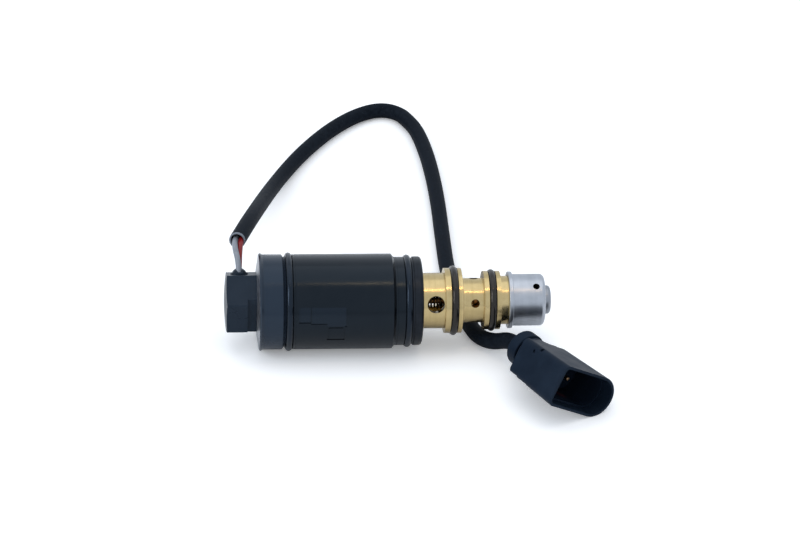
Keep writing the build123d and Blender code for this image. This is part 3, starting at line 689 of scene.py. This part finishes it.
class VALVE_OT_solenoid(ValveOperator, bpy.types.Operator):
    """Finish the terminal head, the coil housing and what is in and around it"""

    bl_idname = "valve.solenoid"
    bl_label = "Solenoid"

    def execute(self, context):
        settings = context.scene.valve_settings
        # Satin charcoal with a blue cast
        head = moulded_nylon("moulded_head_nylon", shades(settings.head_colour, 5), rough=0.3)
        dress(head, "terminal_head")
        # Near-black and glossier, with clear lights along it, and painted shade lines round the blank fields
        housing = moulded_nylon(
            "moulded_housing_nylon",
            shades(settings.housing_colour, 5),
            rough=0.19,
            gloss=0.36,
            paint=housing_tone_and_shade,
        )
        dress(housing, "coil_housing")
        # Pale and cloudy
        zinc = drawn_metal("zinc_plated_steel", ("#a9abb0", "#c3c4c8"), rough=0.34)
        dress(zinc, "end_plate", "rear_yoke", "coil_case")
        # Black with cool, narrow lights
        seal = moulded_rubber("moulded_seal_rubber", ("#0c1015", "#11161c"), rough=0.18, tint="#b4cdec")
        dress(seal, "flange_seal", "front_seal", "wire_seal")
        # Dark grey with a dull metal light
        yoke = ringed_metal("blackened_steel", ("#23262b", "#2e3238"), rough=0.36)
        dress(yoke, "front_yoke")
        # Dull cream
        spool = moulded_nylon("moulded_spool_nylon", ("#b9b3a4", "#cac5b8"), rough=0.5)
        dress(spool, "bobbin")
        # Red-brown turns of wire, 0.35 mm apart
        turns = ringed_metal(
            "enamelled_copper", ("#8a3d1d", "#b0562c"), rough=0.3, ring=0.35 * MM, depth=0.05 * MM
        )
        dress(turns, "winding")
        # Bright and pinkish
        copper = drawn_metal("drawn_copper", ("#b0603a", "#c87850"), rough=0.3)
        dress(copper, "lead_front", "lead_rear")
        # Pale with a yellow cast
        tin = drawn_metal("tin_plated_brass", ("#b5ae9c", "#cfc9b8"), rough=0.3)
        dress(tin, "terminal_front", "terminal_rear")
        # Mid grey and clean
        stainless = ringed_metal("turned_stainless_steel", ("#8d8d90", "#a8a8ab"), rough=0.28)
        dress(stainless, "guide_tube", "plunger", "fixed_core")
        return {"FINISHED"}


class VALVE_OT_brass(ValveOperator, bpy.types.Operator):
    """Finish the brass body, its seals, the rod and the springs"""

    bl_idname = "valve.brass"
    bl_label = "Brass body"

    def execute(self, context):
        settings = context.scene.valve_settings
        # Pale gold with sharp lights along the lands
        brass = ringed_metal("turned_brass", shades(settings.brass_colour, 15), rough=0.22)
        dress(brass, "valve_body")
        # Black with warm, soft lights
        ring = moulded_rubber("moulded_ring_rubber", ("#151515", "#1d1d1e"), rough=0.19, tint="#fff2e4")
        dress(ring, "body_seal_1", "body_seal_2")
        # Warm brown and dull
        rod = ringed_metal("tempered_steel", ("#8f6238", "#a87648"), rough=0.42)
        dress(rod, "valve_rod", "bellows_tip")
        # Dark brown with thin lights on the coils
        wire = drawn_metal("drawn_spring_steel", ("#3f3325", "#554634"), rough=0.42)
        dress(wire, "port_spring", "return_spring")
        return {"FINISHED"}


class VALVE_OT_capsule(ValveOperator, bpy.types.Operator):
    """Finish the cap, the adjusting plug and the bellows"""

    bl_idname = "valve.capsule"
    bl_label = "Capsule"

    def execute(self, context):
        settings = context.scene.valve_settings
        # Pale and satin, with wide soft lights and the drawing's faint lines round it
        cap = ringed_metal(
            "drawn_aluminium",
            shades(settings.cap_colour, 15),
            rough=0.32,
            ring=0.2 * MM,
            depth=0.0004 * MM,
        )
        dress(cap, "cap")
        # A little darker and duller than the cap
        nose = ringed_metal("turned_aluminium", ("#8e9197", "#9ea2a8"), rough=0.36)
        dress(nose, "adjusting_plug")
        # Soft yellow-brown
        bronze = drawn_metal("formed_bronze", ("#9c8a63", "#b5a27a"), rough=0.28)
        dress(bronze, "bellows")
        return {"FINISHED"}


class VALVE_OT_springs(ValveOperator, bpy.types.Operator):
    """Put copies of the springs and the bellows on their joints' parent bodies, in place of the CAD nodes"""

    bl_idname = "valve.springs"
    bl_label = "Springs and bellows"

    def execute(self, context):
        for joint in frame["joints"]:
            for row in joint["deforming_nodes"]:
                flexing(row["node"], joint)
        return {"FINISHED"}


class VALVE_OT_plug(ValveOperator, bpy.types.Operator):
    """Finish the two-pin plug"""

    bl_idname = "valve.plug"
    bl_label = "Plug"

    def execute(self, context):
        # Dull navy-black, with a painted red-brown glow round the pin in the dark cavity
        nylon = moulded_nylon(
            "moulded_plug_nylon", ("#141d29", "#1b2532"), rough=0.42, gloss=0.06, paint=plug_pin_glow
        )
        dress(nylon, "plug_housing", "plug_rear_cap")
        # Warm, slightly tarnished tin
        pins = drawn_metal("tin_plated_pins", ("#86674a", "#a3866a"), rough=0.36)
        dress(pins, "plug_pin_1", "plug_pin_2")
        # Dull red-brown
        seal = moulded_rubber("moulded_plug_rubber", ("#3a1712", "#4d211a"), rough=0.45)
        dress(seal, "plug_wire_seal_1", "plug_wire_seal_2")
        return {"FINISHED"}


class VALVE_OT_stage(ValveOperator, bpy.types.Operator):
    """Add the pale floor, the soft lights and the surroundings"""

    bl_idname = "valve.stage"
    bl_label = "Stage"

    def execute(self, context):
        settings = context.scene.valve_settings
        lay_floor(context, settings.lift)
        hang_lamps(context, settings)
        set_surroundings(context, settings)
        context.scene.view_settings.view_transform = "Standard"
        return {"FINISHED"}


class VALVE_PT_panel(bpy.types.Panel):
    """Lists the valve's settings and operators"""

    bl_idname = "VALVE_PT_panel"
    bl_label = "Control valve"
    bl_space_type = "VIEW_3D"
    bl_region_type = "UI"
    bl_category = "Valve"

    def draw(self, context):
        for name in ValveSettings.__annotations__:
            self.layout.prop(context.scene.valve_settings, name)
        for operator in OPERATORS:
            self.layout.operator(operator.bl_idname)


OPERATORS = (
    VALVE_OT_camera,
    VALVE_OT_cords,
    VALVE_OT_solenoid,
    VALVE_OT_brass,
    VALVE_OT_capsule,
    VALVE_OT_springs,
    VALVE_OT_plug,
    VALVE_OT_stage,
)
CLASSES = (ValveSettings, *OPERATORS, VALVE_PT_panel)


def register():
    """Registers the classes and the settings."""
    for cls in CLASSES:
        bpy.utils.register_class(cls)
    bpy.types.Scene.valve_settings = bpy.props.PointerProperty(type=ValveSettings)


def unregister():
    """Removes them again."""
    del bpy.types.Scene.valve_settings
    for cls in reversed(CLASSES):
        bpy.utils.unregister_class(cls)


def main():
    """Builds everything in order."""
    register()
    bpy.ops.valve.camera()
    bpy.ops.valve.cords()
    bpy.ops.valve.solenoid()
    bpy.ops.valve.brass()
    bpy.ops.valve.capsule()
    bpy.ops.valve.springs()
    bpy.ops.valve.plug()
    bpy.ops.valve.stage()


if __name__ == "__main__":
    main()
